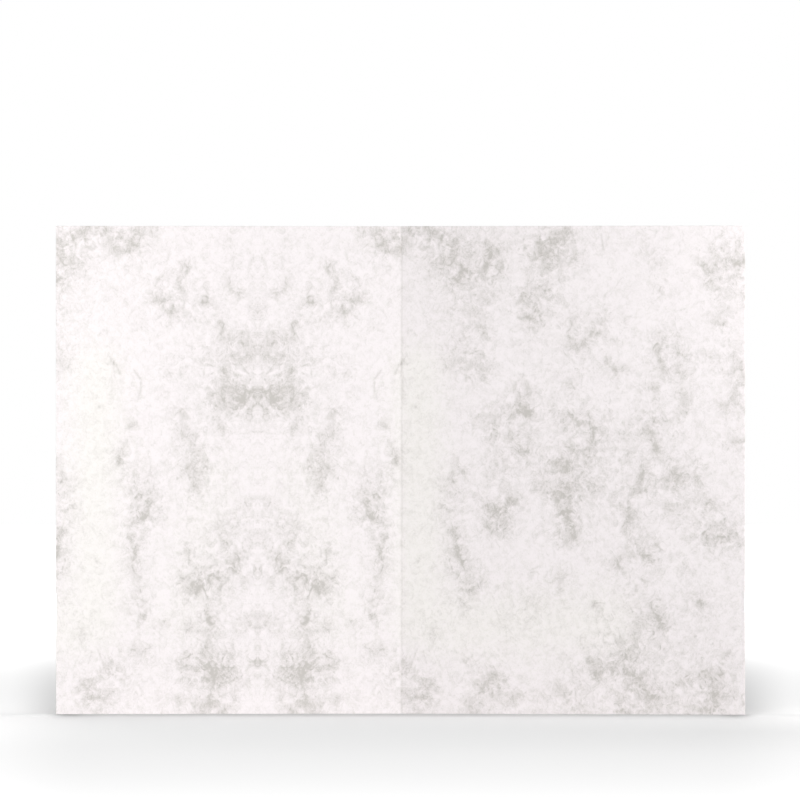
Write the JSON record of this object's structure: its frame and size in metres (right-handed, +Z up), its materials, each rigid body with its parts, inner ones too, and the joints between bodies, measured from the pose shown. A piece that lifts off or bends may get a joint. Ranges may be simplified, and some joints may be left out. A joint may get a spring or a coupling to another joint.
{
  "type": "folded card",
  "caption": "Blank folded card of marbled card stock, creased down the middle and standing open as a shallow V on its bottom edge.",
  "frame": {"origin": "middle of the rectangle that the open card covers on the table, at its bottom edge", "axes": "+X along the open card to the right of a viewer who looks into the fold, +Y away from that viewer, from the free edges towards the crease, +Z up along the crease"},
  "size_m": [0.2088, 0.0114, 0.148],
  "materials": {
    "card_stock": "uncoated matte card, warm white with soft grey marbling"
  },
  "bodies": {
    "root": {"card_sheet": "card_stock"}
  },
  "joints": []
}
